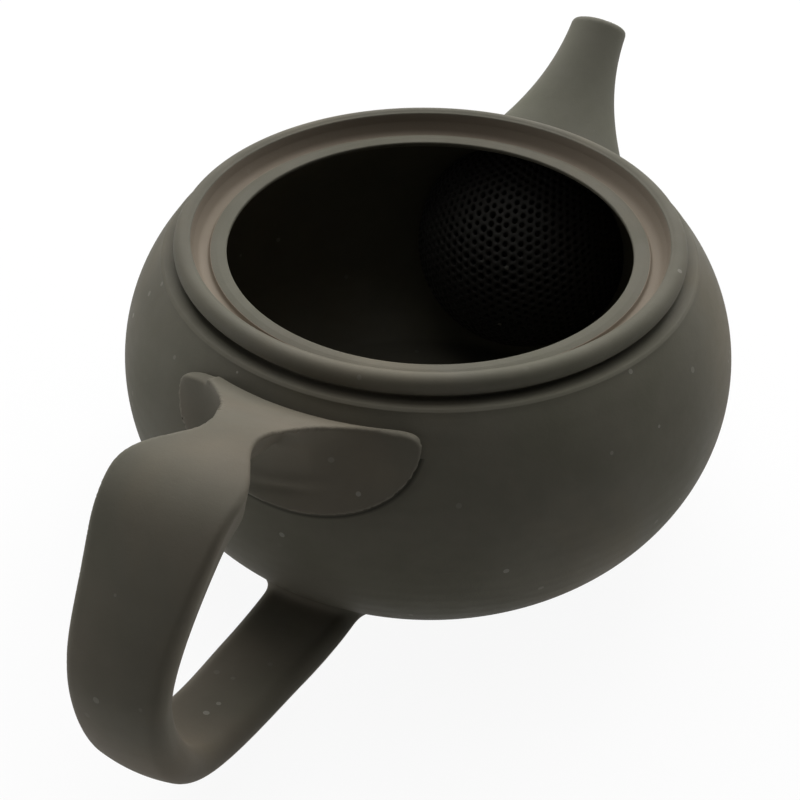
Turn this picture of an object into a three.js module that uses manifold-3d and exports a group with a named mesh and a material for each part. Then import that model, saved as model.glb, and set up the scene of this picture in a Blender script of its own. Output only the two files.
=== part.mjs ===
// Back-handled clay teapot without its lid: bowl, spout, loop handle and ball strainer.
// Millimetres, +Z up. The pot turns about Z and stands on z = 0, the spout points to +X, the handle to -X.
import * as THREE from 'three';
import { mergeVertices } from 'three/addons/utils/BufferGeometryUtils.js';
import Module from 'manifold-3d';

// Bowl: its side is one arc, swept round the pot's axis.
const BELLY_R = 54.5;
const BELLY_Z = 30.3;
const SIDE_ARC_R = 34.5;
const BASE_R = 36.5;
const BEVEL_TOP_Z = 7;
const WALL = 3.2;
const FLOOR_T = 4.2;
const SHOULDER_Z = 53;
const NECK_DROP = 0.8;

// Rim: lip round the mouth, gallery that carries a lid, round collar outside it.
const MOUTH_R = 35;
const LIP_W = 2.4;
const LIP_TOP_Z = 53.5;
const GALLERY_DEPTH = 0.9;
const GALLERY_W = 2.9;
const COLLAR_BEAD_R = 2;
const COLLAR_TOP_Z = 56.8;
const RIM_T = 2.6;

// Spout: straight axis, upright oval root, round tip with a slanting cut.
const TIP_X = 84.8;
const TIP_Z = 59;
const TIP_PITCH = THREE.MathUtils.degToRad(50);
const SPOUT_ROOT_X = 47.7;
const SPOUT_ROOT_Z = 30;
const TIP_R = 5.85;
const FLARE_Y = 24;
const FLARE_Z = 8.4;
const FLARE_POWER = 2.04;
const FLARE_EASE = 0.85;
const EASE_POWER = 8;
const LEAN_POWER = 2.5;
const TIP_WALL = 1.7;
const ROOT_WALL = 2.8;
const POUR_HOLE_R = 7.5;
const POUR_HOLE_Z = 34;

// Strainer: perforated dome over the pour hole.
const DOME_R = 22;
const DOME_X = 47.8;
const DOME_Z = 26.4;
const DOME_T = 2.2;
const HOLE_R = 1.4;
const HOLE_PITCH = 5.9;
const HOLE_FIELD = THREE.MathUtils.degToRad(66);
const HOLE_TURN = THREE.MathUtils.degToRad(20);
const DOME_SPAN = THREE.MathUtils.degToRad(106);

// Handle: flat strap in a loop, forked at its upper root into two thumbed wings.
const WAIST_W = 9.6;
const BEND_W = 19.6;
const STRAP_W = 13.6;
const FOOT_W = 17;
const STRAP_T = 6.6;
const FOOT_T = 5.5;
const FORK_T = 3.6;
const FORK_HALF_W = 20;
const FORK_LENGTH = 24;
const STRAP_POWER = 2.8;
const WING_SPAN = THREE.MathUtils.degToRad(24.5);
const WING_TOP_Z = 49.4;
const WING_DROP = 13.8;
const WING_T = 2;

// Places along the strap, from its upper root (0) to its foot (1), where its width or thickness turns.
const BEND_FROM = 0.2;
const BEND_AT = 0.28;
const THIN_FROM = 0.4;
const FOOT_FROM = 0.62;
const SLIM_AT = 0.66;

// Centre line of the strap: distance from the pot's axis and height.
const LOOP = [
  [43, 46.2],
  [59, 53.6],
  [68.2, 58.3],
  [79.2, 59.9],
  [85.6, 56.6],
  [97.1, 37.9],
  [89.9, 16.1],
  [61.8, 7.1],
  [44.5, 5.2],
  [39, 6.4],
];

// Clearance between two pieces that are luted together.
const JOINT_GAP = 0.3;

// Facets round the pot's axis, and steps along the arcs of its section.
const AROUND = 84;
const SIDE_STEPS = 12;
const INNER_STEPS = 9;
const BEAD_STEPS = 8;

const wasm = await Module();
wasm.setup();

const SIDE_C = BELLY_R - SIDE_ARC_R;
const GALLERY_Z = LIP_TOP_Z - GALLERY_DEPTH;
const COLLAR_INNER_R = MOUTH_R + LIP_W + GALLERY_W;
const BEAD_C_R = COLLAR_INNER_R + COLLAR_BEAD_R + JOINT_GAP;
const BEAD_C_Z = COLLAR_TOP_Z - COLLAR_BEAD_R;

// Radius of the bowl's side at a height, for a surface moved outward by off.
function sideR(z, off) {
  return SIDE_C + Math.sqrt((SIDE_ARC_R + off) ** 2 - (z - BELLY_Z) ** 2);
}

// Points of an arc in the (r, z) plane, ends included.
function arc(cr, cz, radius, from, to, steps) {
  const points = [];
  for (let i = 0; i <= steps; i += 1) {
    const a = from + (to - from) * i / steps;
    points.push(new THREE.Vector2(cr + radius * Math.cos(a), cz + radius * Math.sin(a)));
  }
  return points;
}

// The bowl's outside from the centre of its base to the shoulder ridge, moved outward by off.
function outerProfile(off) {
  const kinkR = sideR(BEVEL_TOP_Z, 0);
  const bevel = new THREE.Vector2(kinkR - BASE_R, BEVEL_TOP_Z).normalize();
  const out = new THREE.Vector2(bevel.y, -bevel.x);
  const back = off * (1 + out.y) / bevel.y;
  const foot = new THREE.Vector2(BASE_R + off * out.x - back * bevel.x, -off);
  const low = -Math.asin((BELLY_Z - BEVEL_TOP_Z) / SIDE_ARC_R);
  const high = Math.asin((SHOULDER_Z - BELLY_Z) / SIDE_ARC_R);
  return [
    new THREE.Vector2(0, -off),
    foot,
    ...arc(SIDE_C, BELLY_Z, SIDE_ARC_R + off, low, high, SIDE_STEPS),
  ];
}

// The bowl's inside from under the rim down to the centre of its floor, moved inward by off.
function innerProfile(off) {
  const radius = SIDE_ARC_R - WALL - off;
  const floorZ = FLOOR_T + off;
  const roofZ = GALLERY_Z - RIM_T - off;
  const high = Math.asin((roofZ - NECK_DROP - BELLY_Z) / radius);
  const low = -Math.asin((BELLY_Z - floorZ - WALL) / radius);
  const side = arc(SIDE_C, BELLY_Z, radius, high, low, INNER_STEPS);
  return [
    new THREE.Vector2(side[0].x - WALL / 2, roofZ),
    ...side,
    new THREE.Vector2(side[INNER_STEPS].x - WALL, floorZ),
    new THREE.Vector2(0, floorZ),
  ];
}

function lathe(points, around = AROUND) {
  const geometry = new THREE.LatheGeometry(points, around);
  geometry.rotateX(Math.PI / 2);
  return geometry;
}

// Six times the signed volume of a closed triangle mesh.
function signedVolume(position, index) {
  const a = new THREE.Vector3();
  const b = new THREE.Vector3();
  const c = new THREE.Vector3();
  let sum = 0;
  for (let i = 0; i < index.length; i += 3) {
    a.fromBufferAttribute(position, index[i]);
    b.fromBufferAttribute(position, index[i + 1]);
    c.fromBufferAttribute(position, index[i + 2]);
    sum += a.dot(b.cross(c));
  }
  return sum;
}

// Turns a closed geometry into a solid, with its faces looking outward.
function solid(geometry) {
  const bare = new THREE.BufferGeometry();
  bare.setAttribute('position', geometry.getAttribute('position'));
  if (geometry.index) {
    bare.setIndex(geometry.index);
  }
  const welded = mergeVertices(bare, 1e-4);
  const position = welded.getAttribute('position');
  const triangles = [];
  const index = welded.index.array;
  for (let i = 0; i < index.length; i += 3) {
    const [a, b, c] = [index[i], index[i + 1], index[i + 2]];
    if (a !== b && b !== c && a !== c) {
      triangles.push(a, b, c);
    }
  }
  if (signedVolume(position, triangles) < 0) {
    triangles.reverse();
  }
  return new wasm.Manifold(new wasm.Mesh({
    numProp: 3,
    vertProperties: new Float32Array(position.array),
    triVerts: new Uint32Array(triangles),
  }));
}

function toGeometry(body) {
  const mesh = body.getMesh();
  const flat = new THREE.BufferGeometry();
  flat.setAttribute('position', new THREE.BufferAttribute(new Float32Array(mesh.vertProperties), 3));
  flat.setIndex(new THREE.BufferAttribute(new Uint32Array(mesh.triVerts), 1));
  flat.computeVertexNormals();
  return flat;
}

// Skin over a row of rings that all have the same number of points, closed by a fan at each end.
function loft(rings) {
  const count = rings[0].length;
  const vertices = [];
  const index = [];
  for (const ring of rings) {
    for (const p of ring) {
      vertices.push(p.x, p.y, p.z);
    }
  }
  for (let k = 0; k < rings.length - 1; k += 1) {
    for (let i = 0; i < count; i += 1) {
      const a = k * count + i;
      const b = k * count + (i + 1) % count;
      index.push(a, b, b + count, a, b + count, a + count);
    }
  }
  for (const [k, flip] of [[0, true], [rings.length - 1, false]]) {
    const centre = new THREE.Vector3();
    rings[k].forEach((p) => centre.addScaledVector(p, 1 / count));
    const hub = vertices.length / 3;
    vertices.push(centre.x, centre.y, centre.z);
    for (let i = 0; i < count; i += 1) {
      const a = k * count + i;
      const b = k * count + (i + 1) % count;
      index.push(...(flip ? [hub, b, a] : [hub, a, b]));
    }
  }
  const geometry = new THREE.BufferGeometry();
  geometry.setAttribute('position', new THREE.Float32BufferAttribute(vertices, 3));
  geometry.setIndex(index);
  return geometry;
}

// Closed oval in a plane through centre, with half widths a and b; power 2 is an ellipse.
function oval(centre, across, up, a, b, power, count) {
  const ring = [];
  for (let i = 0; i < count; i += 1) {
    const t = i / count * 2 * Math.PI;
    const c = Math.cos(t);
    const s = Math.sin(t);
    ring.push(centre.clone()
      .addScaledVector(across, a * Math.sign(c) * Math.abs(c) ** (2 / power))
      .addScaledVector(up, b * Math.sign(s) * Math.abs(s) ** (2 / power)));
  }
  return ring;
}

const sideways = new THREE.Vector3(0, 1, 0);

// The bowl as a solid block, one clearance larger than it is: what is luted on is cut back to it.
function bowlBlock() {
  const profile = outerProfile(JOINT_GAP);
  const top = profile[profile.length - 1];
  return solid(lathe([
    ...profile,
    new THREE.Vector2(top.x, COLLAR_TOP_Z),
    new THREE.Vector2(0, COLLAR_TOP_Z),
  ]));
}

// The hollow of the bowl, one clearance smaller than it is.
function bowlHollow() {
  const profile = innerProfile(JOINT_GAP);
  return solid(lathe([new THREE.Vector2(0, profile[0].y), ...profile]));
}

function makeBody() {
  const lipOuterR = MOUTH_R + LIP_W;
  const edge = LIP_W / 8;
  const rim = [
    new THREE.Vector2(BEAD_C_R + COLLAR_BEAD_R, SHOULDER_Z - edge),
    ...arc(BEAD_C_R, BEAD_C_Z, COLLAR_BEAD_R, -Math.PI / 4, Math.PI, BEAD_STEPS),
    new THREE.Vector2(COLLAR_INNER_R, GALLERY_Z),
    new THREE.Vector2(lipOuterR, GALLERY_Z),
    new THREE.Vector2(lipOuterR, LIP_TOP_Z - edge),
    new THREE.Vector2(lipOuterR - edge, LIP_TOP_Z),
    new THREE.Vector2(MOUTH_R + edge, LIP_TOP_Z),
    new THREE.Vector2(MOUTH_R, LIP_TOP_Z - edge),
    new THREE.Vector2(MOUTH_R, GALLERY_Z - RIM_T / 2),
    new THREE.Vector2(MOUTH_R + RIM_T / 2, GALLERY_Z - RIM_T),
  ];
  const pot = solid(lathe([...outerProfile(0), ...rim, ...innerProfile(0)]));
  const drill = new THREE.CylinderGeometry(POUR_HOLE_R, POUR_HOLE_R, BELLY_R / 2, 32);
  drill.rotateZ(Math.PI / 2);
  drill.translate(BELLY_R, 0, POUR_HOLE_Z);
  return pot.subtract(solid(drill));
}

// Rings of the spout from inside the bowl to its tip, or one radius past it for the bore. They stand upright
// at the root and lean back to the slant of the tip. The flare eases off where it meets the bowl.
function spoutRings(isBore) {
  const root = new THREE.Vector3(SPOUT_ROOT_X, 0, SPOUT_ROOT_Z);
  const tip = new THREE.Vector3(TIP_X, 0, TIP_Z);
  const steps = 12;
  const rings = [];
  for (let i = 0; i <= steps; i += 1) {
    const s = i / steps;
    const d = 1 - s;
    const flare = d ** FLARE_POWER / (1 + FLARE_EASE * d ** EASE_POWER);
    const wall = isBore ? TIP_WALL + (ROOT_WALL - TIP_WALL) * d : 0;
    const pitch = TIP_PITCH * (1 - d ** LEAN_POWER);
    const up = new THREE.Vector3(-Math.sin(pitch), 0, Math.cos(pitch));
    const centre = root.clone().lerp(tip, s);
    rings.push(oval(centre, sideways, up, TIP_R + FLARE_Y * flare - wall, TIP_R + FLARE_Z * flare - wall, 2, 28));
  }
  if (isBore) {
    const along = tip.sub(root).normalize();
    rings.push(rings[steps].map((p) => p.clone().addScaledVector(along, TIP_R)));
  }
  return rings;
}

function makeSpout(block) {
  const horn = solid(loft(spoutRings(false)));
  const bore = solid(loft(spoutRings(true)));
  return horn.subtract(block).subtract(bore);
}

// Point of the dome over a point of the flat sheet it is bent from. The middle of the sheet faces -X.
function bend(u, v, radius) {
  const flat = Math.hypot(u, v);
  const tilt = flat / DOME_R;
  const spread = flat > 0 ? radius * Math.sin(tilt) / flat : 0;
  const across = u * Math.cos(HOLE_TURN) - v * Math.sin(HOLE_TURN);
  const up = u * Math.sin(HOLE_TURN) + v * Math.cos(HOLE_TURN);
  return [-radius * Math.cos(tilt), across * spread, up * spread];
}

// Dome of six-sided cells, pierced in the hole field. Cell centres and corners lie on one lattice with
// steps of half a pitch across and half a cell side up.
function makeStrainer(hollow) {
  const stepU = HOLE_PITCH / 2;
  const stepV = HOLE_PITCH / Math.sqrt(12);
  const corners = [[1, 1], [0, 2], [-1, 1], [-1, -1], [0, -2], [1, -1]];
  const neighbours = [[1, 3], [-1, 3], [-2, 0], [-1, -3], [1, -3], [2, 0]];
  const flatRadius = (a, b) => Math.hypot(a * stepU, b * stepV);
  const isCell = (a, b) => flatRadius(a, b) < DOME_R * DOME_SPAN;
  const vertices = [];
  const point = (u, v, isInner) => bend(u, v, isInner ? DOME_R - DOME_T : DOME_R);
  const face = (p, q, r, s) => vertices.push(...p, ...q, ...r, ...p, ...r, ...s);
  const rows = Math.ceil(DOME_R * DOME_SPAN / stepV / 3);
  for (let row = -rows; row <= rows; row += 1) {
    for (let i = -rows; i <= rows; i += 1) {
      const a = 2 * i + Math.abs(row % 2);
      const b = 3 * row;
      if (!isCell(a, b)) {
        continue;
      }
      const isPierced = flatRadius(a, b) < DOME_R * HOLE_FIELD;
      const shrink = isPierced ? HOLE_R / (2 * stepV) : 0;
      for (let k = 0; k < 6; k += 1) {
        const pair = [corners[k], corners[(k + 1) % 6]];
        const [from, to] = pair.map(([x, y]) => [(a + x) * stepU, (b + y) * stepV]);
        const [start, end] = pair.map(([x, y]) => [(a + x * shrink) * stepU, (b + y * shrink) * stepV]);
        face(point(...from), point(...to), point(...end), point(...start));
        face(point(...to, true), point(...from, true), point(...start, true), point(...end, true));
        if (isPierced) {
          face(point(...start), point(...end), point(...end, true), point(...start, true));
        }
        if (!isCell(a + neighbours[k][0], b + neighbours[k][1])) {
          face(point(...to), point(...from), point(...from, true), point(...to, true));
        }
      }
    }
  }
  const dome = new THREE.BufferGeometry();
  dome.setAttribute('position', new THREE.Float32BufferAttribute(vertices, 3));
  return solid(dome).translate([DOME_X, 0, DOME_Z]).intersect(hollow);
}

const strapLine = new THREE.CatmullRomCurve3(LOOP.map(([q, z]) => new THREE.Vector3(-q, 0, z)));
const forkStartQ = sideR(WING_TOP_Z, 0) - WING_T;

// How much wider than its waist the strap is on each side at a distance q from the pot's axis: the fork.
function forkFlare(q) {
  const t = THREE.MathUtils.clamp((forkStartQ + FORK_LENGTH - q) / FORK_LENGTH, 0, 1);
  return (FORK_HALF_W - WAIST_W / 2) * (1 - Math.sqrt(1 - t * t));
}

// Full width of the strap from its upper root (s = 0) to its foot (s = 1), without the fork. It is widest
// on the bend and slims down again before the foot.
function strapWidth(s) {
  const { smoothstep } = THREE.MathUtils;
  return WAIST_W
    + (BEND_W - WAIST_W) * smoothstep(s, BEND_FROM, BEND_AT)
    + (STRAP_W - BEND_W) * smoothstep(s, BEND_AT, SLIM_AT)
    + (FOOT_W - STRAP_W) * smoothstep(s, FOOT_FROM, 1);
}

function makeStrap() {
  const steps = 44;
  const rings = [];
  for (let i = 0; i <= steps; i += 1) {
    const s = i / steps;
    const centre = strapLine.getPointAt(s);
    const along = strapLine.getTangentAt(s);
    const up = new THREE.Vector3().crossVectors(along, sideways);
    const flare = s < THIN_FROM ? forkFlare(-centre.x) : 0;
    const spread = flare / (FORK_HALF_W - WAIST_W / 2);
    const thick = STRAP_T + (FOOT_T - STRAP_T) * THREE.MathUtils.smoothstep(s, THIN_FROM, 1)
      + (FORK_T - STRAP_T) * Math.sqrt(spread);
    rings.push(oval(centre, sideways, up, flare + strapWidth(s) / 2, thick / 2, STRAP_POWER, 18));
  }
  return solid(loft(rings));
}

// Value between low and high where a falling function passes through zero, or the end that is nearest to it.
function rootOf(falling, low, high) {
  let [a, b] = [low, high];
  for (let i = 0; i < 30; i += 1) {
    const middle = (a + b) / 2;
    if (falling(middle) > 0) {
      a = middle;
    } else {
      b = middle;
    }
  }
  return (a + b) / 2;
}

// Thumbed pads under the fork. Each column starts on the bowl's side, at the pad's half-elliptic lower edge,
// and sweeps out to the edge of the fork above it.
function makeWings() {
  const columns = 22;
  const rows = 6;
  const nearTip = 0.985;
  const rings = [];
  for (let i = 0; i <= columns; i += 1) {
    const t = Math.sin((i / columns - 0.5) * Math.PI) * nearTip;
    const turn = t * WING_SPAN;
    const drop = WING_DROP * Math.sqrt(1 - t * t);
    const top = WING_TOP_Z - WING_T * t ** EASE_POWER;
    const reach = rootOf(
      (q) => forkFlare(q) + WAIST_W / 2 - q * Math.tan(Math.abs(turn)),
      forkStartQ,
      forkStartQ + FORK_LENGTH - WAIST_W / 2,
    );
    const place = rootOf((s) => reach + strapLine.getPoint(s).x, 0, THIN_FROM);
    const out = Math.max(reach / Math.cos(turn) - FORK_T / 6 - sideR(top, 0) - WING_T, 0);
    const rise = out > 0 ? strapLine.getPoint(place).z - top : 0;
    const outer = [];
    const inner = [];
    for (let j = 0; j <= rows; j += 1) {
      const u = j / rows;
      const z = top - drop * (1 - u);
      outer.push([sideR(z, 0) + WING_T + out * u ** 3, z + rise * u ** 3]);
      inner.unshift([sideR(z, 0) - WALL / 2, z]);
    }
    rings.push([...outer, ...inner].map(([r, z]) => new THREE.Vector3(-r * Math.cos(turn), -r * Math.sin(turn), z)));
  }
  return solid(loft(rings));
}

function makeHandle(block) {
  return makeStrap().add(makeWings()).subtract(block);
}

function piece(name, body, color, roughness) {
  const material = new THREE.MeshStandardMaterial({ color, roughness, metalness: 0 });
  const mesh = new THREE.Mesh(toGeometry(body), material);
  mesh.name = name;
  return mesh;
}

const block = bowlBlock();
const group = new THREE.Group();
group.name = 'kyusu';
group.add(piece('body', makeBody(), '#5c594f', 0.82));
group.add(piece('spout', makeSpout(block), '#5b5950', 0.82));
group.add(piece('handle', makeHandle(block), '#5b594f', 0.8));
group.add(piece('strainer', makeStrainer(bowlHollow()), '#2d2c2a', 0.88));

export default group;
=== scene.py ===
import math

import bpy
import numpy as np
from mathutils import Matrix, Vector


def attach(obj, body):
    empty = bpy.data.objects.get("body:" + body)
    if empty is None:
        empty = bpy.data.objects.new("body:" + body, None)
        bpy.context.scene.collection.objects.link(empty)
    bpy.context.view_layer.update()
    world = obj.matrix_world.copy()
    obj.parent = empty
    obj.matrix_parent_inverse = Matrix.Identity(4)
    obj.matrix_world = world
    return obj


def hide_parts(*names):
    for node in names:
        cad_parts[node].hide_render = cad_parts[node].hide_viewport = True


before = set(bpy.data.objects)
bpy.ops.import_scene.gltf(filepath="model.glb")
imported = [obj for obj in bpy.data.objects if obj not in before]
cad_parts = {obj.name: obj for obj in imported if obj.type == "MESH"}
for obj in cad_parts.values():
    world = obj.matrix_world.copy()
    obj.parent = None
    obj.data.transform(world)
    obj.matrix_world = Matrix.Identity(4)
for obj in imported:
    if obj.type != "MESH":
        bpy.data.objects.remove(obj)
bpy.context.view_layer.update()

# A clay pot without its lid. Lengths are in millimetres up to make_mesh, which turns them into metres.
# +Z is up, the bowl is turned about Z, the spout points to +X and the handle to -X.
MM = 0.001

# Bowl
BELLY_Z = 30.3
SIDE_ARC_R = 34.5
SIDE_C = 20.0
BASE_R = 36.5
BEVEL_TOP_Z = 7.0
WALL = 3.2
FLOOR_T = 4.2
SHOULDER_Z = 53.0
MOUTH_R = 35.0
LIP_OUTER_R = 37.9
LIP_TOP_Z = 53.5
GALLERY_Z = 52.6
COLLAR_INNER_R = 40.3
COLLAR_BEAD_R = 1.7
COLLAR_TOP_Z = 56.8
RIM_T = 2.6
BOWL_AROUND = 256

# Spout and the hole in the bowl's wall behind the strainer
SPOUT_ROOT = (47.7, 30.0)
SPOUT_TIP = (84.8, 59.0)
TIP_PITCH = math.radians(50)
TIP_R = 5.85
FLARE_Y = 24.0
FLARE_Z = 8.4
TIP_WALL = 1.7
ROOT_WALL = 2.8
TIP_EDGE = 1.3
BORE_EDGE = 0.9
SPOUT_FILLET = 3.2
SPOUT_SKIRT = 3.4
POUR_HOLE_R = 7.5
POUR_HOLE_Z = 34.0
CUTTER_X = (30, 70)
CUTTER_SIDES = 48
SPOUT_BOX = ((41, -27, 14), (92, 27, 67))
SPOUT_GRID = 0.6

# Strainer
DOME_R = 22.0
DOME_X = 47.8
DOME_Z = 26.4
DOME_T = 2.2
DOME_SPAN = math.radians(106)
RIM_IN_WALL = 1.6
HOLE_PITCH = 1.9
HOLE_R = 0.56
HOLE_FIELD = math.radians(86)
HOLE_TURN = math.radians(20)
HOLE_TO_WALL = 1.5
HOLE_BEVEL = 1.3
HOLE_BEVEL_DEPTH = 0.16
HOLE_WOBBLE = 0.1
HOLE_SHIFT = 0.05
HOLE_SEED = 5
CELL_POINTS = 12

# Handle: its centre line in (q, z), then widths and thicknesses. q is the distance from the pot's axis.
LOOP = [(43, 46.2), (59, 53.6), (68.2, 58.3), (79.2, 59.9), (85.6, 56.6), (97.1, 37.9), (89.9, 16.1),
        (61.8, 7.1), (44.5, 5.2), (39, 6.4)]
LOOP_POINTS = 500
WAIST_W = 9.0
BEND_W = 19.6
STRAP_W = 13.6
FOOT_W = 17.0
STRAP_T = 6.6
FOOT_T = 5.5
FORK_T = 4.2
CROWN = 1.1
FOOT_FILLET = 2.6
FOOT_SKIRT = 2.8
FORK_HALF_W = 20.0
FORK_START_Q = 46.7
FORK_LENGTH = 24.0
FORK_BACK_R = 48.4
FORK_TIP_EDGE = 0.9
FORK_ABOVE_Z = 25
HANDLE_BOX = ((-102, -25, 0.5), (-36, 25, 66))
HANDLE_GRID = 0.5

# Pads under the fork, one to the right of the handle and one to its left
PAD_SPAN_RIGHT = math.radians(23.7)
PAD_SPAN_LEFT = math.radians(25.4)
PAD_Z = 49.7
PAD_DROP = 13.2
PAD_RISE = 4.35
PAD_LEFT_LOW = 1.7
PAD_T = 0.8
PAD_RIM = 0.45
WEB_RISE = 16
SCOOP_POWER = 2.4
FOLD_Z = 39.8
FOLD_RIDGE = 0.5
FOLD_GROOVE = 0.45

# Table of the scoops, over degrees of azimuth and over height
TABLE_AZIMUTH = 32
TABLE_LOW = 30
TABLE_HIGH = 64
TABLE_STEP = 0.2

# Spout and handle run out just under the bowl's skin and end a little deeper in its wall
SKIN_DEPTH = 0.12
ROOT_DEPTH = 0.7


def smoothstep(x, low, high):
    t = np.clip((x - low) / (high - low), 0, 1)
    return t * t * (3 - 2 * t)


def smooth_min(a, b, k):
    """Joins two distance fields with a fillet about k wide."""
    h = np.maximum(k - np.abs(a - b), 0) / k
    return np.minimum(a, b) - h * h * k / 4


def smooth_max(a, b, k):
    """Cuts one distance field with another and softens the edge over about k."""
    return -smooth_min(-a, -b, k)


def round_max(a, b, edge):
    """Intersection of two distance fields with its edge rounded to a radius."""
    corner = np.hypot(np.maximum(a + edge, 0), np.maximum(b + edge, 0))
    return np.minimum(np.maximum(a, b) + edge, 0) + corner - edge


def make_mesh(name, points, faces):
    mesh = bpy.data.meshes.new(name)
    mesh.from_pydata((np.asarray(points) * MM).tolist(), [], faces)
    mesh.validate()
    mesh.update()
    obj = bpy.data.objects.new(name, mesh)
    bpy.context.scene.collection.objects.link(obj)
    mesh.shade_smooth()
    return obj


def arc(cr, cz, radius, start, end, steps):
    a = np.linspace(start, end, steps + 1)
    return [(cr + radius * math.cos(t), cz + radius * math.sin(t)) for t in a]


def rounded(points, radii, steps=5):
    """Polyline in (r, z) with rounded corners: radii gives each corner's radius, 0 leaves it sharp."""
    longest_cut = 0.48
    out = []
    for i, (p, rad) in enumerate(zip(points, radii)):
        if rad == 0:
            out.append(p)
            continue
        p = np.array(p)
        a = np.array(points[i - 1]) - p
        b = np.array(points[i + 1]) - p
        a_len, b_len = np.linalg.norm(a), np.linalg.norm(b)
        a, b = a / a_len, b / b_len
        half = math.acos(np.clip(a @ b, -1, 1)) / 2
        cut = min(rad / math.tan(half), longest_cut * a_len, longest_cut * b_len)
        start, end = p + a * cut, p + b * cut
        for t in np.linspace(0, 1, steps + 1):
            q = (1 - t) ** 2 * start + 2 * t * (1 - t) * p + t * t * end
            out.append((float(q[0]), float(q[1])))
    return out


def side_r(z):
    """Radius of the bowl's outside at a height."""
    return SIDE_C + math.sqrt(SIDE_ARC_R ** 2 - (z - BELLY_Z) ** 2)


def body_profile():
    """Half section of the bowl, from the middle of its base up the outside and down the inside."""
    low = -math.asin((BELLY_Z - BEVEL_TOP_Z) / SIDE_ARC_R)
    high = math.asin((SHOULDER_Z - BELLY_Z) / SIDE_ARC_R)
    side = arc(SIDE_C, BELLY_Z, SIDE_ARC_R, low, high - 0.02, 64)
    foot = rounded([(20, 0), (BASE_R, 0), side[0], side[1]], [0, 0.9, 0.0, 0])
    ridge_r = side_r(SHOULDER_Z - 0.35)
    bead_r = COLLAR_INNER_R + COLLAR_BEAD_R + 0.3
    bead_z = COLLAR_TOP_Z - COLLAR_BEAD_R
    shelf = rounded([
        side[-1],
        (ridge_r, SHOULDER_Z - 0.2),
        (ridge_r - 0.5, SHOULDER_Z + 0.12),
        (ridge_r - 1.6, SHOULDER_Z - 0.02),
        (bead_r + 0.2, SHOULDER_Z - 0.15),
        (bead_r + 0.15, SHOULDER_Z + 0.6),
    ], [0, 0.3, 0.5, 0.6, 0.3, 0])
    bead = arc(bead_r, bead_z, COLLAR_BEAD_R, -0.95, math.pi * 0.66, 30)
    gallery = rounded([
        bead[-1],
        (COLLAR_INNER_R + 0.72, COLLAR_TOP_Z - 0.3),
        (COLLAR_INNER_R + 0.35, COLLAR_TOP_Z - 1.9),
        (COLLAR_INNER_R - 0.5, GALLERY_Z + 0.3),
        (LIP_OUTER_R + 0.35, GALLERY_Z + 0.12),
        (LIP_OUTER_R, LIP_TOP_Z - 0.05),
        (LIP_OUTER_R - 1.2, LIP_TOP_Z + 0.08),
        (MOUTH_R + 0.05, LIP_TOP_Z - 0.08),
        (MOUTH_R + 0.1, LIP_TOP_Z - 0.75),
        (MOUTH_R + 3.4, GALLERY_Z - 1.9),
        (MOUTH_R + 7.5, GALLERY_Z - RIM_T - 0.1),
    ], [0, 0.4, 1.6, 1.4, 0.8, 0.22, 1.5, 0.4, 0.4, 2.5, 0])
    inner_r = SIDE_ARC_R - WALL
    top = math.asin((GALLERY_Z - RIM_T - 0.8 - BELLY_Z) / inner_r)
    bottom = -math.asin((BELLY_Z - FLOOR_T - WALL) / inner_r)
    inside = arc(SIDE_C, BELLY_Z, inner_r, top, bottom, 48)
    floor_start = (inside[-1][0] - WALL, FLOOR_T)
    inner_floor = rounded([inside[-1], floor_start, (10, FLOOR_T - 0.25)], [0, 3.5, 0], 8)
    points = [(0.0, 0.0)] + foot[:-1] + side[1:-1] + shelf + bead + gallery[1:]
    points += inside[1:-1] + inner_floor[:-1]
    points += [(20, FLOOR_T - 0.2), (8, FLOOR_T - 0.25), (0.0, FLOOR_T - 0.25)]
    return np.array(points)


def lathe(name, profile, around):
    """Turns a half section that starts and ends on the axis into a closed mesh."""
    ring = profile[1:-1]
    a = np.linspace(0, 2 * math.pi, around, endpoint=False)
    x = ring[:, None, 0] * np.cos(a)
    y = ring[:, None, 0] * np.sin(a)
    z = np.repeat(ring[:, 1:2], around, axis=1)
    points = np.stack([x, y, z], -1).reshape(-1, 3)
    poles = [[0, 0, profile[0, 1]], [0, 0, profile[-1, 1]]]
    points = np.vstack([points, poles])
    i, j = np.meshgrid(np.arange(len(ring) - 1), np.arange(around), indexing="ij")
    a0 = (i * around + j).ravel()
    b0 = (i * around + (j + 1) % around).ravel()
    faces = np.stack([a0, b0, b0 + around, a0 + around], 1).tolist()
    first, last = len(points) - 2, len(points) - 1
    end = (len(ring) - 1) * around
    for j in range(around):
        k = (j + 1) % around
        faces.append([first, k, j])
        faces.append([last, end + j, end + k])
    return make_mesh(name, points, faces)


# Distance fields are negative inside and take points as an array whose last axis is x, y, z.

def bowl_field(p):
    """The bowl's outside, from its base to its shoulder."""
    r = np.hypot(p[..., 0], p[..., 1])
    z = p[..., 2]
    side = np.hypot(np.maximum(r - SIDE_C, 0), z - BELLY_Z) - SIDE_ARC_R
    run = side_r(BEVEL_TOP_Z) - BASE_R
    bevel = ((r - BASE_R) * BEVEL_TOP_Z - z * run) / math.hypot(run, BEVEL_TOP_Z)
    return np.maximum(np.maximum(side, bevel), -z)


def spout_half_widths(d):
    flare = d ** 2.04 / (1 + 0.85 * d ** 8)
    return TIP_R + FLARE_Y * flare, TIP_R + FLARE_Z * flare


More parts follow.
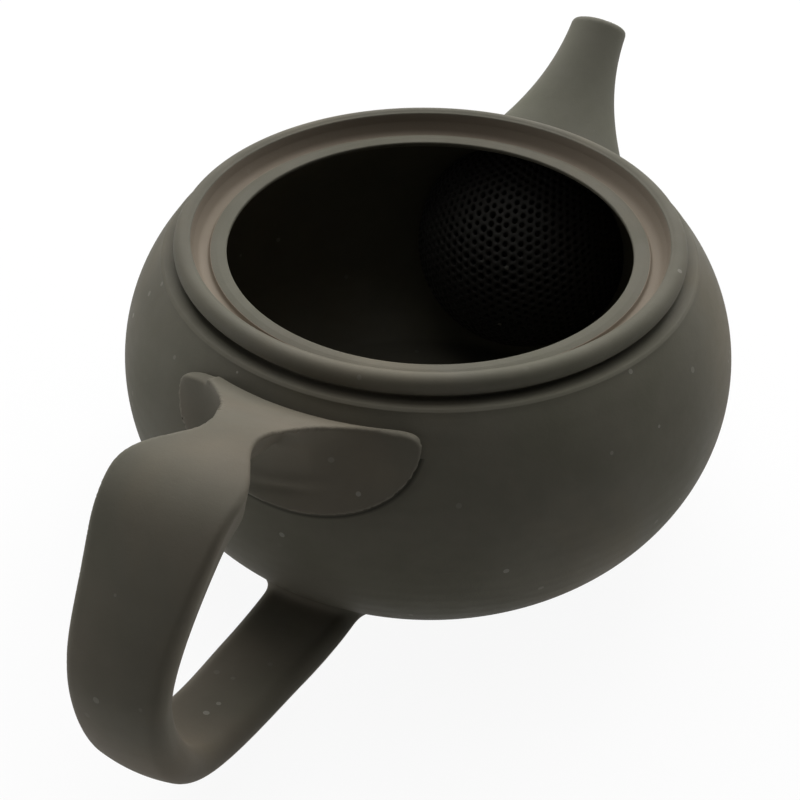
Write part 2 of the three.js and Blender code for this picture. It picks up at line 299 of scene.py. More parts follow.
def spout_field(p):
    """Outside, bore and tip cut of the spout, an upright oval at its root and round at its tip."""
    x, z = p[..., 0], p[..., 2]
    step = (SPOUT_TIP[0] - SPOUT_ROOT[0], SPOUT_TIP[1] - SPOUT_ROOT[1])

    def ahead(s):
        """Distance past the section at a share s of the way to the tip, and height in that section."""
        pitch = TIP_PITCH * (1 - np.maximum(1 - s, 0) ** 2.5)
        dx = x - SPOUT_ROOT[0] - step[0] * s
        dz = z - SPOUT_ROOT[1] - step[1] * s
        return dx * np.cos(pitch) + dz * np.sin(pitch), -dx * np.sin(pitch) + dz * np.cos(pitch)

    low = np.full(x.shape, -0.3)
    high = np.full(x.shape, 1.3)
    for _ in range(16):
        mid = (low + high) / 2
        beyond = ahead(mid)[0] > 0
        low = np.where(beyond, mid, low)
        high = np.where(beyond, high, mid)
    s = (low + high) / 2
    across, up = p[..., 1], ahead(s)[1]
    d = np.clip(1 - s, 0, 1)
    a, b = spout_half_widths(d)
    wall = TIP_WALL + (ROOT_WALL - TIP_WALL) * d
    reach = np.hypot(across, up) + 1e-6
    outer = reach * (1 - 1 / np.maximum(np.hypot(across / a, up / b), 1e-3))
    bore = reach * (1 - 1 / np.maximum(np.hypot(across / (a - wall), up / (b - wall)), 1e-3))
    cut = (x - SPOUT_TIP[0]) * math.cos(TIP_PITCH) + (z - SPOUT_TIP[1]) * math.sin(TIP_PITCH)
    return outer, bore, cut


def spout_solid(p):
    outer, bore, cut = spout_field(p)
    bowl = bowl_field(p)
    horn = smooth_max(outer, cut, TIP_EDGE)
    joined = smooth_min(horn, bowl + SKIN_DEPTH, SPOUT_FILLET)
    walled = smooth_max(joined, -bore, BORE_EDGE)
    return np.maximum(np.maximum(walled, -ROOT_DEPTH - bowl), horn - SPOUT_SKIRT)


def loop_table():
    """Centre line of the strap as a dense, evenly spaced row of points in (q, z)."""
    pts = np.array(LOOP, float)
    pts = np.vstack([2 * pts[0] - pts[1], pts, 2 * pts[-1] - pts[-2]])
    rows = []
    for i in range(len(LOOP) - 1):
        p0, p1, p2, p3 = pts[i:i + 4]
        d0, d1, d2 = [math.sqrt(np.linalg.norm(v)) for v in (p1 - p0, p2 - p1, p3 - p2)]
        t1 = ((p1 - p0) / d0 - (p2 - p0) / (d0 + d1) + (p2 - p1) / d1) * d1
        t2 = ((p2 - p1) / d1 - (p3 - p1) / (d1 + d2) + (p3 - p2) / d2) * d1
        t = np.linspace(0, 1, 60, endpoint=i == len(LOOP) - 2)[:, None]
        square = (3 * (p2 - p1) - 2 * t1 - t2) * t ** 2
        cube = (2 * (p1 - p2) + t1 + t2) * t ** 3
        rows.append(p1 + t1 * t + square + cube)
    line = np.concatenate(rows)
    run = np.r_[0, np.cumsum(np.linalg.norm(np.diff(line, axis=0), axis=1))]
    even = np.linspace(0, run[-1], LOOP_POINTS)
    return np.stack([np.interp(even, run, line[:, 0]), np.interp(even, run, line[:, 1])], -1)


LINE = loop_table()
LINE_S = np.linspace(0, 1, len(LINE))
TANGENT = np.gradient(LINE, axis=0)
TANGENT /= np.linalg.norm(TANGENT, axis=1)[:, None]


def along_strap(start, *changes):
    """A value along the strap: each change adds its amount between two shares of the strap's length."""
    value = np.full(len(LINE), float(start))
    for amount, low, high in changes:
        value = value + amount * smoothstep(LINE_S, low, high)
    return value


# The strap was set by hand. Its middle wanders up to 2.1 mm from the pot's plane of symmetry, and it
# bulges to the left on its bend. Its inner face is narrower than its outer face there, and much
# narrower at the waist.
BULGE = along_strap(0, (1.0, 0.2, 0.27), (1.1, 0.34, 0.45), (-2.1, 0.47, 0.78))
WIDTH = along_strap(WAIST_W, (BEND_W - WAIST_W, 0.195, 0.28), (STRAP_W - BEND_W, 0.24, 0.56),
                    (FOOT_W - STRAP_W, 0.62, 1))
HALF_WIDTH = (WIDTH + BULGE) / 2
MIDDLE = along_strap(2.1, (-3.35, 0.03, 0.212), (0.05, 0.23, 0.29), (1.3, 0.46, 0.64)) + BULGE / 2
TAPER = along_strap(0.62, (-0.62, 0.18, 0.26), (0.27, 0.2, 0.28), (-0.27, 0.45, 0.6))
THICKNESS = along_strap(FORK_T, (STRAP_T - FORK_T, 0.02, 0.16), (FOOT_T - STRAP_T, 0.4, 1))
EDGE_R = along_strap(0.55, (0.65, 0.19, 0.27), (1.2, 0.28, 0.42))


def fork_flare(q):
    """How much wider than its waist the strap is on each side at a distance q from the pot's axis."""
    t = np.clip((FORK_START_Q + FORK_LENGTH - q) / FORK_LENGTH, 0, 0.9995)
    return (FORK_HALF_W - WAIST_W / 2) * (1 - np.sqrt(1 - t ** 2))


def strap_place(q, z):
    """Place on the centre line, distance out of the loop from it, and distance past its ends."""
    at_once = 20000
    flat = np.stack([q.ravel(), z.ravel()], -1)
    nearest = np.empty(len(flat), int)
    for k in range(0, len(flat), at_once):
        part = flat[k:k + at_once]
        gap = (part ** 2).sum(1)[:, None] - 2 * part @ LINE.T + (LINE ** 2).sum(1)
        nearest[k:k + at_once] = gap.argmin(1)
    away = flat - LINE[nearest]
    tangent = TANGENT[nearest]
    along = (away * tangent).sum(1)
    step = np.linalg.norm(LINE[1] - LINE[0])
    last = len(LINE) - 1
    place = np.clip(nearest + along / step, 0, last)
    side = away[:, 1] * tangent[:, 0] - away[:, 0] * tangent[:, 1]
    past = np.where(nearest == 0, -along, np.where(nearest == last, along, 0))
    return place.reshape(q.shape), side.reshape(q.shape), np.maximum(past, 0).reshape(q.shape)


def pad_span(azimuth):
    return np.where(azimuth > 0, PAD_SPAN_RIGHT, PAD_SPAN_LEFT)


def scoop_table():
    """Radius of the thumbed scoops under the fork, and its slope, over azimuth and height.

    Low down they are a thin dished pad on the bowl's side, with a fold where the thumb left it. Upward
    they sweep out to the edge of the fork."""
    azimuth = np.radians(np.arange(-TABLE_AZIMUTH, TABLE_AZIMUTH + 0.01, TABLE_STEP))
    height = np.arange(TABLE_LOW, TABLE_HIGH + 0.01, TABLE_STEP)
    fork_top = LINE[:, 1] + THICKNESS / 2 * TANGENT[:, 0]
    rows = LINE_S < 0.24
    reach = np.empty(len(azimuth))
    for i, az in enumerate(azimuth):
        r = np.arange(46.0, 71.0, 0.05)
        q, y = r * np.cos(az), r * np.sin(az)
        middle = -np.interp(q, LINE[rows, 0], MIDDLE[rows])
        outside = np.abs(y - middle) > WAIST_W / 2 + fork_flare(q)
        reach[i] = r[outside][0] if outside.any() else r[-1]
    kernel = np.hanning(15) / np.hanning(15).sum()
    reach = np.convolve(np.pad(smooth_min(reach, 66, 6), 7, "edge"), kernel, "valid")
    t = np.minimum(np.abs(azimuth) / pad_span(azimuth), 1)
    low = PAD_Z - PAD_DROP * np.sqrt(1 - t ** 2)
    high = np.interp(reach, LINE[rows, 0], fork_top[rows])
    u = np.clip((height - low[:, None]) / (high - low)[:, None], 0, 1)
    middle_out = np.hypot(t[:, None], (PAD_Z - height) / PAD_DROP)
    pad = PAD_T + PAD_RIM * smoothstep(middle_out, 0.55, 1.0)
    side_height = smooth_min(height, PAD_Z + 0.5, 7.0)
    side = SIDE_C + np.sqrt(SIDE_ARC_R ** 2 - (side_height - BELLY_Z) ** 2)
    out = np.maximum(reach - side_r(PAD_Z) - 1.0, 0)
    degrees = np.degrees(azimuth)[:, None]
    fold_z = FOLD_Z + 0.2 * degrees
    ridge = FOLD_RIDGE * np.exp(-(height - fold_z - 1.6) ** 2)
    groove = FOLD_GROOVE * np.exp(-((height - fold_z) / 0.7) ** 2)
    fold = (ridge - groove) * np.exp(-(degrees / 6) ** 2)
    radius = side + pad + fold + out[:, None] * u ** SCOOP_POWER
    by_azimuth, by_height = np.gradient(radius, azimuth, height)
    slope = np.sqrt(1 + by_height ** 2 + (by_azimuth / radius) ** 2)
    return radius, slope


SCOOP_RADIUS, SCOOP_SLOPE = scoop_table()


def look_up(table, azimuth, height):
    """Value of a scoop table between its rows and columns."""
    i = np.clip((np.degrees(azimuth) + TABLE_AZIMUTH) / TABLE_STEP, 0, table.shape[0] - 1.001)
    j = np.clip((height - TABLE_LOW) / TABLE_STEP, 0, table.shape[1] - 1.001)
    i0, j0 = i.astype(int), j.astype(int)
    a, b = i - i0, j - j0
    return ((table[i0, j0] * (1 - b) + table[i0, j0 + 1] * b) * (1 - a)
            + (table[i0 + 1, j0] * (1 - b) + table[i0 + 1, j0 + 1] * b) * a)


def wing_field(p):
    """Scooped web and pads that carry the fork, and the outline that rounds the fork's two tips."""
    azimuth = np.arctan2(-p[..., 1], -p[..., 0])
    r, z = np.hypot(p[..., 0], p[..., 1]), p[..., 2]
    face = (r - look_up(SCOOP_RADIUS, azimuth, z)) / look_up(SCOOP_SLOPE, azimuth, z)
    span = pad_span(azimuth)
    centre = PAD_Z - PAD_LEFT_LOW * (1 - smoothstep(azimuth, -0.2, 0))
    in_web = 1 - smoothstep(np.abs(azimuth), math.radians(11), math.radians(18))
    tall = np.where(z < centre, centre - PAD_Z + PAD_DROP, PAD_RISE + WEB_RISE * in_web)
    h = np.hypot(azimuth / span, (z - centre) / tall) + 1e-6
    pad_r = 52
    gradient = np.hypot(azimuth / span ** 2 / pad_r, (z - centre) / tall ** 2) / h
    outline = (h - 1) / np.maximum(gradient, 0.03)
    undercut = 0.8 * np.clip(1 - bowl_field(p) / 0.9, 0, 1)
    well_inside = -9.0
    tips = np.where(z > centre, outline, well_inside)
    return smooth_max(face, outline + undercut, 0.5), tips


def handle_solid(p):
    q, z, across = -p[..., 0], p[..., 2], p[..., 1]
    r = np.hypot(p[..., 0], across)
    high = z > FORK_ABOVE_Z
    turned = np.where(high, 1 - smoothstep(q, 52, 62), 0)
    place, side, past = strap_place(q + (r - q) * turned, z)
    index = np.arange(len(LINE))
    half, thick, edge, middle, taper = [
        np.interp(place, index, v) for v in (HALF_WIDTH, THICKNESS / 2, EDGE_R, MIDDLE, TAPER)]
    tip = smoothstep(np.arctan2(np.abs(across), q), math.radians(13), math.radians(21))
    edge = edge + np.where(high, FORK_TIP_EDGE * tip, 0)
    bowl = bowl_field(p)
    from_middle = np.abs(across - middle)
    wide = from_middle - half + taper * np.clip(thick - side, 0, 2 * thick)
    slab = round_max(wide, -side - thick, edge) + past
    crowned = smoothstep(place / (len(LINE) - 1), 0.25, 0.45)
    crown = CROWN * crowned * np.minimum(from_middle / half, 1) ** 2
    top = side + crown - thick
    web, tips = wing_field(p)
    upper = smooth_max(round_max(smooth_min(slab, web, 1.0), top, edge), tips, 0.8)
    strap = round_max(slab, top, edge)
    lower = smooth_min(strap, bowl + SKIN_DEPTH, FOOT_FILLET)
    joined = np.where(high, smooth_max(upper, FORK_BACK_R - r, 0.8), lower)
    skirt = np.where(high, -1.0, strap - FOOT_SKIRT)
    return np.maximum(np.maximum(joined, -ROOT_DEPTH - bowl), skirt)


def net(name, field, low, high, step):
    """Closed mesh of a distance field's surface.

    Each grid cell that the surface passes gets one point, which is then drawn onto the surface."""
    low, high = np.array(low, float), np.array(high, float)
    n = np.ceil((high - low) / step).astype(int) + 1
    axes = [low[k] + step * np.arange(n[k]) for k in range(3)]
    values = np.empty(n, np.float32)
    for j in range(n[1]):
        grid = np.stack(np.meshgrid(axes[0], axes[1][j:j + 1], axes[2], indexing="ij"), -1)
        values[:, j:j + 1, :] = field(grid)
    inside = values < 0
    corners = [(i, j, k) for i in (0, 1) for j in (0, 1) for k in (0, 1)]
    total = np.zeros(n - 1, np.int8)
    for dx, dy, dz in corners:
        total += inside[dx:n[0] - 1 + dx, dy:n[1] - 1 + dy, dz:n[2] - 1 + dz]
    cells = np.argwhere((total > 0) & (total < len(corners)))
    number = np.full(n - 1, -1, np.int64)
    number[tuple(cells.T)] = np.arange(len(cells))
    points = low + step * crossings(values, cells, corners)
    points = drawn_onto(field, points, 0.4 * step)
    faces = net_faces(inside, number, n)
    return make_mesh(name, points, faces)


def crossings(values, cells, corners):
    """Mean of the places where the surface crosses each cell's twelve edges, in cells."""
    centre = np.zeros((len(cells), 3))
    count = np.zeros(len(cells))
    for a in corners:
        for axis in range(3):
            if a[axis]:
                continue
            b = tuple(a[m] + (m == axis) for m in range(3))
            va = values[tuple((cells + a).T)]
            vb = values[tuple((cells + b).T)]
            crossed = (va < 0) != (vb < 0)
            t = np.where(crossed, va / np.where(crossed, va - vb, 1), 0)
            point = cells + np.array(a) + t[:, None] * (np.array(b) - np.array(a))
            centre += np.where(crossed[:, None], point, 0)
            count += crossed
    return centre / count[:, None]


def drawn_onto(field, points, longest):
    """Points after three steps down the field's slope, none of them longer than a given length."""
    probe = 0.05
    for _ in range(3):
        here = field(points)
        ahead_behind = [field(points + e) - field(points - e) for e in np.eye(3) * probe]
        slope = np.stack([v / (2 * probe) for v in ahead_behind], -1)
        size = np.maximum((slope ** 2).sum(1), 0.25)
        move = -(here / size)[:, None] * slope
        points = points + np.clip(move, -longest, longest)
    return points


def net_faces(inside, number, n):
    """One face across each grid edge that the surface crosses, turned outward."""
    faces = []
    for axis in range(3):
        a, b = [k for k in range(3) if k != axis]
        here = [slice(1, n[k] - 1) for k in range(3)]
        here[axis] = slice(0, n[axis] - 1)
        after = list(here)
        after[axis] = slice(1, n[axis])
        start, end = inside[tuple(here)], inside[tuple(after)]
        edge = np.argwhere(start != end)
        base = edge + np.array([0 if k == axis else 1 for k in range(3)])
        flip = start[tuple(edge.T)]
        quad = []
        for da, db in ((1, 1), (0, 1), (0, 0), (1, 0)):
            cell = base.copy()
            cell[:, a] -= da
            cell[:, b] -= db
            quad.append(number[tuple(cell.T)])
        quad = np.stack(quad, 1)
        turned = flip if axis != 1 else ~flip
        quad[~turned] = quad[~turned][:, ::-1]
        faces.append(quad)
    return np.concatenate(faces).tolist()


def strainer_mesh(name):
    """Pierced dome: a sheet of six-sided cells, each with a round hole, bent onto a sphere.

    Each cell has a point at each corner and one in the middle of each side. The sheet is closed at its
    rim."""
    half_u, sixth_v = HOLE_PITCH / 2, HOLE_PITCH / math.sqrt(12)
    turn = np.arange(CELL_POINTS) * math.pi / 6 + math.pi / 6
    corner = np.where(np.arange(CELL_POINTS) % 2 == 0, 2 * sixth_v, HOLE_PITCH / 2)
    rim = np.stack([corner * np.cos(turn), corner * np.sin(turn)], -1)
    circle = np.stack([np.cos(turn), np.sin(turn)], -1)
    rng = np.random.default_rng(HOLE_SEED)
    points, faces, known = [], [], {}

    def bent(u, v, radius):
        flat = math.hypot(u, v)
        tilt = flat / DOME_R
        spread = radius * math.sin(tilt) / flat if flat > 1e-9 else 0
        across = u * math.cos(HOLE_TURN) - v * math.sin(HOLE_TURN)
        up = u * math.sin(HOLE_TURN) + v * math.cos(HOLE_TURN)
        return (DOME_X - radius * math.cos(tilt), across * spread, DOME_Z + up * spread)

    def add(u, v, radius, key=None):
        """Number of the point at a place on the sheet; neighbouring cells share points with a key."""
        if key is not None and key in known:
            return known[key]
        points.append(bent(u, v, radius))
        if key is not None:
            known[key] = len(points) - 1
        return len(points) - 1

    def hole_ring(u, v, radius, size):
        return [add(u + a * size, v + b * size, radius) for a, b in circle]

    rows = math.ceil(DOME_R * DOME_SPAN / sixth_v / 3)
    for row in range(-rows, rows + 1):
        for i in range(-rows, rows + 1):
            u, v = (2 * i + abs(row) % 2) * half_u, 3 * row * sixth_v
            flat = math.hypot(u, v)
            x, y, z = bent(u, v, DOME_R - DOME_T / 2)
            depth = math.hypot(math.hypot(x, y) - SIDE_C, z - BELLY_Z) - (SIDE_ARC_R - WALL)
            if flat > DOME_R * DOME_SPAN or depth > RIM_IN_WALL:
                continue
            pierced = flat < DOME_R * HOLE_FIELD and depth < -HOLE_TO_WALL
            wobble = 1 + HOLE_WOBBLE * rng.standard_normal()
            shift = rng.standard_normal(2) * HOLE_SHIFT
            rings = []
            for inner in (0, 1):
                radius = DOME_R - DOME_T if inner else DOME_R
                rings.append([
                    add(u + a, v + b, radius, (round(2 * (u + a), 2), round(2 * (v + b), 2), inner))
                    for a, b in rim])
                if pierced:
                    hole_u, hole_v, hole_r = u + shift[0], v + shift[1], HOLE_R * wobble
                    sunk = radius + (HOLE_BEVEL_DEPTH if inner else -HOLE_BEVEL_DEPTH)
                    rings.append(hole_ring(hole_u, hole_v, radius, hole_r * HOLE_BEVEL))
                    rings.append(hole_ring(hole_u, hole_v, sunk, hole_r))
                else:
                    rings.append([add(u, v, radius)])
            per = len(rings) // 2
            for k in range(CELL_POINTS):
                m = (k + 1) % CELL_POINTS
                if pierced:
                    for a, b in ((0, 1), (1, 2)):
                        c, d = per + a, per + b
                        faces.append([rings[b][k], rings[b][m], rings[a][m], rings[a][k]])
                        faces.append([rings[c][k], rings[c][m], rings[d][m], rings[d][k]])
                    faces.append([rings[5][k], rings[5][m], rings[2][m], rings[2][k]])
                else:
                    faces.append([rings[0][m], rings[0][k], rings[1][0]])
                    faces.append([rings[2][k], rings[2][m], rings[3][0]])
    mate = {known[u, v, 0]: known[u, v, 1] for u, v, inner in known if inner == 0}
    uses = {}
    for face in faces:
        for a, b in zip(face, face[1:] + face[:1]):
            if a in mate and b in mate:
                uses.setdefault(frozenset((a, b)), []).append((a, b))
    faces += [[b, a, mate[a], mate[b]] for (a, b), *others in uses.values() if not others]
    return make_mesh(name, points, faces)


# Colours of the clay, as shares of its red, green and blue tint
DRIFT = [(0.3, (0.88, 0.9, 0.86)), (0.5, (1, 1, 1)), (0.68, (1.14, 1.08, 1.02))]
CHANNEL_SHADE = (1.8, 1.58, 1.55)
# Painted shade: colour of the dark line on the bowl under the pads' lower edges
PAINTED_PAD_SHADOW = (0.3, 0.3, 0.3)
WARM_SHADE = (1.25, 0.92, 0.9)
SPECK_COLOUR = (0.36, 0.35, 0.31)

# Ring between lip and collar that clay() can colour
CHANNEL_R = 39.4
CHANNEL_HALF_W = 1.6
CHANNEL_ABOVE_Z = 52


def clay(name, tint, rings=0.0, channel=0.0, warm=0.0, pad_shadow=0.0):
    """Unglazed clay: brown-green drift, fine grain, faint wheel rings and a few pale specks.

    channel colours the ring that the lid sits on, warm adds reddish patches, and the last share paints
    shade: a thin dark line on the bowl under the pads' lower edges, where their shadow falls."""
    mat = bpy.data.materials.new(name)
    mat.use_nodes = True
    nt = mat.node_tree
    nodes, links = nt.nodes, nt.links
    shader = nodes["Principled BSDF"]
    shader.inputs["Metallic"].default_value = 0.0
    shader.inputs["Specular IOR Level"].default_value = 0.1
    place = nodes.new("ShaderNodeTexCoord").outputs["Object"]

    def noise(scale, detail=3.0, rough=0.55, warp=0.0):
        n = nodes.new("ShaderNodeTexNoise")
        n.inputs["Scale"].default_value = scale
        n.inputs["Detail"].default_value = detail
        n.inputs["Roughness"].default_value = rough
        n.inputs["Distortion"].default_value = warp
        links.new(place, n.inputs["Vector"])
        return n.outputs["Fac"]

    def ramp(value, stops):
        r = nodes.new("ShaderNodeValToRGB")
        while len(r.color_ramp.elements) < len(stops):
            r.color_ramp.elements.new(0.5)
        for e, (at, colour) in zip(r.color_ramp.elements, stops):
            e.position = at
            e.color = (*colour, 1) if isinstance(colour, tuple) else (colour, colour, colour, 1)
        links.new(value, r.inputs["Fac"])
        return r.outputs["Color"]

    def maths(kind, a, b=None, clamp=False):
        m = nodes.new("ShaderNodeMath")
        m.operation = kind
        m.use_clamp = clamp
        for socket, v in zip(m.inputs, (a, b)):
            if v is None:
                continue
            if isinstance(v, (int, float)):
                socket.default_value = v
            else:
                links.new(v, socket)
        return m.outputs[0]

    def product(first, *others):
        for v in others:
            first = maths("MULTIPLY", first, v)
        return first

    def mix(kind, fac, a, b):
        m = nodes.new("ShaderNodeMix")
        m.data_type = "RGBA"
        m.blend_type = kind
        for socket, v in ((m.inputs["Factor"], fac), (m.inputs[6], a), (m.inputs[7], b)):
            if isinstance(v, (int, float)):
                socket.default_value = v
            elif isinstance(v, tuple):
                socket.default_value = (*v, 1)
            else:
                links.new(v, socket)
        return m.outputs[2]

    def shade(factors):
        return tuple(t * f for t, f in zip(tint, factors))

    def pot_coordinates():
        """Coordinates X, Y and Z, and distance from the pot's axis."""
        split = nodes.new("ShaderNodeSeparateXYZ")
        links.new(place, split.inputs[0])
        flat = nodes.new("ShaderNodeCombineXYZ")
        links.new(split.outputs["X"], flat.inputs["X"])
        links.new(split.outputs["Y"], flat.inputs["Y"])
        length = nodes.new("ShaderNodeVectorMath")
        length.operation = "LENGTH"
        links.new(flat.outputs[0], length.inputs[0])
        return (*[split.outputs[axis] for axis in "XYZ"], length.outputs["Value"])

    def channel_mask():
        from_middle = maths("ABSOLUTE", maths("SUBTRACT", radius, CHANNEL_R * MM))
        inside = maths("LESS_THAN", from_middle, CHANNEL_HALF_W * MM)
        above = maths("GREATER_THAN", height, CHANNEL_ABOVE_Z * MM)
        return product(inside, above, channel)

    def painted_pad_shadow_mask():
        """Painted shade: a thin dark line along the lower outline of both pads, on the bowl's outside
        alone, where their shadow falls.
        """
        turn = maths("ARCTAN2", maths("MULTIPLY", pot_y, -1), maths("MULTIPLY", pot_x, -1))
        right = maths("GREATER_THAN", turn, 0)
        wider = maths("MULTIPLY", right, PAD_SPAN_RIGHT - PAD_SPAN_LEFT)
        wide = maths("DIVIDE", turn, maths("ADD", wider, PAD_SPAN_LEFT))
        fall = maths("MULTIPLY", maths("SUBTRACT", PAD_Z * MM, height), 1 / (PAD_DROP * MM))
        fall_square = product(fall, fall)
        out = maths("SQRT", maths("ADD", product(wide, wide), fall_square))
        lip = maths("ADD", maths("MULTIPLY", fall_square, 0.06), 1.015)
        off = maths("ABSOLUTE", maths("SUBTRACT", out, lip))
        line = maths("SUBTRACT", 1.0, maths("MULTIPLY", off, 32), clamp=True)
        below = maths("GREATER_THAN", fall, 0.2)
        side_x = maths("SUBTRACT", radius, SIDE_C * MM)
        side_z = maths("SUBTRACT", height, BELLY_Z * MM)
        depth = maths("SQRT", maths("ADD", product(side_x, side_x), product(side_z, side_z)))
        outside = maths("GREATER_THAN", depth, (SIDE_ARC_R - WALL / 3) * MM)
        return product(line, below, outside, pad_shadow)

    def speck_mask():
        cells = nodes.new("ShaderNodeTexVoronoi")
        cells.inputs["Scale"].default_value = 330
        links.new(place, cells.inputs["Vector"])
        dot = maths("LESS_THAN", cells.outputs["Distance"], 0.17)
        pick = nodes.new("ShaderNodeSeparateColor")
        links.new(cells.outputs["Color"], pick.inputs[0])
        rare = maths("GREATER_THAN", pick.outputs[0], 0.9)
        return product(product(dot, rare), product(pick.outputs[1], 0.35))

    def wheel_rings():
        wave = nodes.new("ShaderNodeTexWave")
        wave.wave_type = "BANDS"
        wave.bands_direction = "Z"
        wave.inputs["Scale"].default_value = 110
        wave.inputs["Distortion"].default_value = 2.2
        wave.inputs["Detail"].default_value = 3
        wave.inputs["Detail Scale"].default_value = 0.6
        links.new(place, wave.inputs["Vector"])
        return wave.outputs["Fac"]

    drift = ramp(noise(22, 4, 0.6, 0.4), [(at, shade(factors)) for at, factors in DRIFT])
    patch = ramp(noise(60, 5, 0.65), [(0.35, 0.93), (0.65, 1.06)])
    colour = mix("MULTIPLY", 1.0, drift, patch)
    if channel or pad_shadow:
        pot_x, pot_y, height, radius = pot_coordinates()
    if channel:
        colour = mix("MIX", channel_mask(), colour, shade(CHANNEL_SHADE))
    # Painted shade: a dark line where the pads' shadow falls on the bowl
    if pad_shadow:
        colour = mix("MIX", painted_pad_shadow_mask(), colour, shade(PAINTED_PAD_SHADOW))
    if warm:
        patches = ramp(noise(30, 2), [(0.35, 0.0), (0.6, 1.0)])
        colour = mix("MIX", product(patches, warm), colour, shade(WARM_SHADE))
    colour = mix("MIX", speck_mask(), colour, SPECK_COLOUR)
    links.new(colour, shader.inputs["Base Color"])
    links.new(ramp(noise(90, 4), [(0.3, 0.62), (0.7, 0.74)]), shader.inputs["Roughness"])

    grain = product(noise(2600, 4, 0.7), 0.35)
    fine = product(noise(700, 4, 0.6), 0.4)
    soft = product(noise(75, 3, 0.5), 0.9)
    relief = maths("ADD", maths("ADD", grain, fine), soft)
    if rings:
        relief = maths("ADD", relief, product(wheel_rings(), rings))
    bump = nodes.new("ShaderNodeBump")
    bump.inputs["Strength"].default_value = 0.5
    bump.inputs["Distance"].default_value = 0.12 * MM
    links.new(relief, bump.inputs["Height"])
    links.new(bump.outputs["Normal"], shader.inputs["Normal"])
    return mat


def finish_piece(obj, node, material):
    obj.data.materials.clear()
    obj.data.materials.append(material)
    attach(obj, "root")
    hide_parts(node)


def pour_hole_cutter():
    turn = np.linspace(0, 2 * math.pi, CUTTER_SIDES, endpoint=False)
    ring = np.stack([np.cos(turn), np.sin(turn)], -1) * POUR_HOLE_R
    points = [(x, y, z + POUR_HOLE_Z) for x in CUTTER_X for y, z in ring]
    near = list(range(CUTTER_SIDES))
    far = list(range(CUTTER_SIDES, 2 * CUTTER_SIDES))
    sides = [[b, d, c, a] for a, b, c, d in zip(near, far, near[1:] + near[:1], far[1:] + far[:1])]
    return make_mesh("pour_hole_cutter", points, sides + [near, far[::-1]])


def cut_through(obj, cutter):
    """Takes the cutter's shape out of a piece's mesh and deletes the cutter."""
    drill = obj.modifiers.new("pour_hole", "BOOLEAN")
    drill.operation = "DIFFERENCE"
    drill.object = cutter
    drill.solver = "EXACT"
    depsgraph = bpy.context.evaluated_depsgraph_get()
    cut_mesh = bpy.data.meshes.new_from_object(obj.evaluated_get(depsgraph))
    obj.modifiers.clear()
    obj.data = cut_mesh
    bpy.data.objects.remove(cutter)


bowl = lathe("bowl", body_profile(), BOWL_AROUND)
cut_through(bowl, pour_hole_cutter())
# The bowl's clay carries painted shade: a dark line under the pads
finish_piece(bowl, "body", clay("body_clay", (0.107, 0.1, 0.078), rings=0.35, channel=0.8, pad_shadow=0.9))

spout = net("spout_shell", spout_solid, *SPOUT_BOX, SPOUT_GRID)
# Painted light: the spout is the bowl's clay, its tint made about 15% lighter for how brightly the
# spout is lit
finish_piece(spout, "spout", clay("spout_clay", (0.122, 0.117, 0.093)))

handle = net("loop_handle", handle_solid, *HANDLE_BOX, HANDLE_GRID)
finish_piece(handle, "handle", clay("handle_clay", (0.106, 0.1, 0.078), warm=0.2))

strainer = strainer_mesh("pierced_dome")
# Painted shade: the strainer is the bowl's clay, its tint made about five times darker for the shade
# inside the pot
finish_piece(strainer, "strainer", clay("strainer_clay", (0.022, 0.021, 0.019)))


# Surroundings, in metres. What the camera sees of them, straight or in a reflection, is white.
FLOOR_SIZE = 6.0
FLOOR_Z = -0.0002
FLOOR_GREY = 0.8
FLOOR_GLOW = 0.93
ROOM_STRENGTH = 0.01

# Lamps: direction as azimuth (from +X toward +Y) and elevation in degrees, size, and power in watts
LAMP_DISTANCE = 0.9
LAMP_TARGET = Vector((0, 0, 0.03))
LIGHTS = {
    "back": ((25, 40), (1.1, 0.7), 9.0),
    "back_high": ((25, 65), (1.0, 0.5), 3.6),
    "back_right": ((-25, 35), (0.8, 0.5), 3.0),
    "left_low": ((115, 8), (0.9, 0.25), 2.2),
    "right_low": ((-65, 8), (0.9, 0.25), 0.4),
    "top": ((25, 88), (0.6, 0.6), 1.2),
}

# Camera fitted to the photo, its focal length in pixels of a picture 800 pixels wide
EYE = Vector((-198.03, -89.04, 191.87)) * MM
AHEAD = Vector((0.70469, 0.33612, -0.62485))
RIGHT = Vector((0.43691, -0.89946, 0.0089))
UP = Vector((0.55904, 0.27928, 0.78069))
FOCAL_PX = 1478.4
PICTURE_PX = 800
SENSOR_MM = 36.0


def white_rays(tree):
    """1 for rays that show the white surroundings: from the camera, mirrored or passed through."""
    rays = tree.nodes.new("ShaderNodeLightPath")
    value = rays.outputs["Is Camera Ray"]
    for kind in ("Is Glossy Ray", "Is Transmission Ray"):
        either = tree.nodes.new("ShaderNodeMath")
        either.operation = "MAXIMUM"
        tree.links.new(value, either.inputs[0])
        tree.links.new(rays.outputs[kind], either.inputs[1])
        value = either.outputs[0]
    return value


def blend_surface(tree, output, share, plain, white):
    """Shows one shader or the other, by a share that comes from the kind of ray."""
    out = tree.nodes.new(output)
    blend = tree.nodes.new("ShaderNodeMixShader")
    tree.links.new(share, blend.inputs[0])
    tree.links.new(plain.outputs[0], blend.inputs[1])
    tree.links.new(white.outputs[0], blend.inputs[2])
    tree.links.new(blend.outputs[0], out.inputs["Surface"])


def floor_plane():
    h = FLOOR_SIZE / 2
    mesh = bpy.data.meshes.new("floor")
    corners = [(-h, -h, FLOOR_Z), (h, -h, FLOOR_Z), (h, h, FLOOR_Z), (-h, h, FLOOR_Z)]
    mesh.from_pydata(corners, [], [(0, 1, 2, 3)])
    obj = bpy.data.objects.new("floor", mesh)
    bpy.context.scene.collection.objects.link(obj)
    return obj


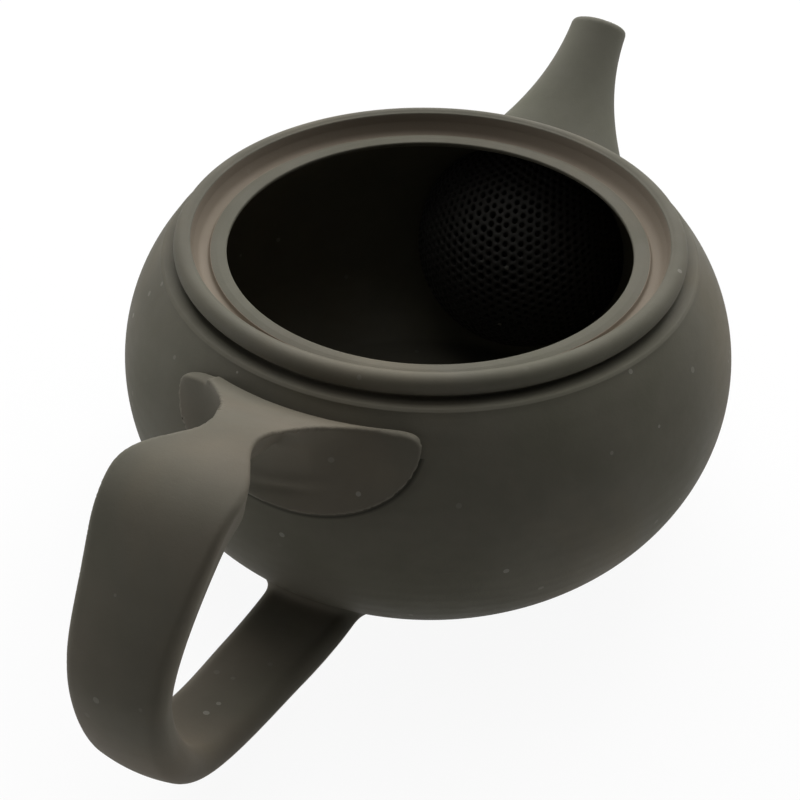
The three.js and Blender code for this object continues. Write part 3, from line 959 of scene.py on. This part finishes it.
def floor_paper():
    paper = bpy.data.materials.new("pale_floor")
    paper.use_nodes = True
    tree = paper.node_tree
    tree.nodes.clear()
    matte = tree.nodes.new("ShaderNodeBsdfDiffuse")
    matte.inputs["Color"].default_value = (FLOOR_GREY, FLOOR_GREY, FLOOR_GREY, 1)
    glow = tree.nodes.new("ShaderNodeEmission")
    glow.inputs["Strength"].default_value = 1.0
    faded = tree.nodes.new("ShaderNodeMath")
    faded.operation = "MULTIPLY"
    faded.inputs[1].default_value = FLOOR_GLOW
    tree.links.new(white_rays(tree), faded.inputs[0])
    blend_surface(tree, "ShaderNodeOutputMaterial", faded.outputs[0], matte, glow)
    return paper


def studio_world():
    world = bpy.data.worlds.new("studio")
    bpy.context.scene.world = world
    world.use_nodes = True
    tree = world.node_tree
    tree.nodes.clear()
    room = tree.nodes.new("ShaderNodeBackground")
    room.inputs["Strength"].default_value = ROOM_STRENGTH
    white = tree.nodes.new("ShaderNodeBackground")
    white.inputs["Color"].default_value = (1, 1, 1, 1)
    white.inputs["Strength"].default_value = 1.0
    blend_surface(tree, "ShaderNodeOutputWorld", white_rays(tree), room, white)


def softbox(name, toward, size, power):
    """Area light that faces the pot from a direction."""
    azimuth, elevation = [math.radians(v) for v in toward]
    back = Vector((math.cos(azimuth) * math.cos(elevation), math.sin(azimuth) * math.cos(elevation),
                   math.sin(elevation)))
    data = bpy.data.lights.new(name, "AREA")
    data.shape = "RECTANGLE"
    data.size, data.size_y = size
    data.energy = power
    obj = bpy.data.objects.new(name, data)
    obj.location = back * LAMP_DISTANCE + LAMP_TARGET
    obj.rotation_mode = "QUATERNION"
    obj.rotation_quaternion = (-back).to_track_quat("-Z", "Y")
    bpy.context.scene.collection.objects.link(obj)


def photo_camera():
    data = bpy.data.cameras.new("camera")
    data.sensor_width = SENSOR_MM
    data.lens = SENSOR_MM * FOCAL_PX / PICTURE_PX
    data.clip_start = 0.01
    data.clip_end = 20.0
    camera = bpy.data.objects.new("camera", data)
    camera.matrix_world = Matrix((
        (RIGHT.x, UP.x, -AHEAD.x, EYE.x),
        (RIGHT.y, UP.y, -AHEAD.y, EYE.y),
        (RIGHT.z, UP.z, -AHEAD.z, EYE.z),
        (0, 0, 0, 1),
    ))
    bpy.context.scene.collection.objects.link(camera)
    bpy.context.scene.camera = camera


floor = floor_plane()
floor.data.materials.append(floor_paper())
for light_name, (toward, size, power) in LIGHTS.items():
    softbox(light_name, toward, size, power)
studio_world()
photo_camera()
bpy.context.scene.view_settings.view_transform = "Standard"
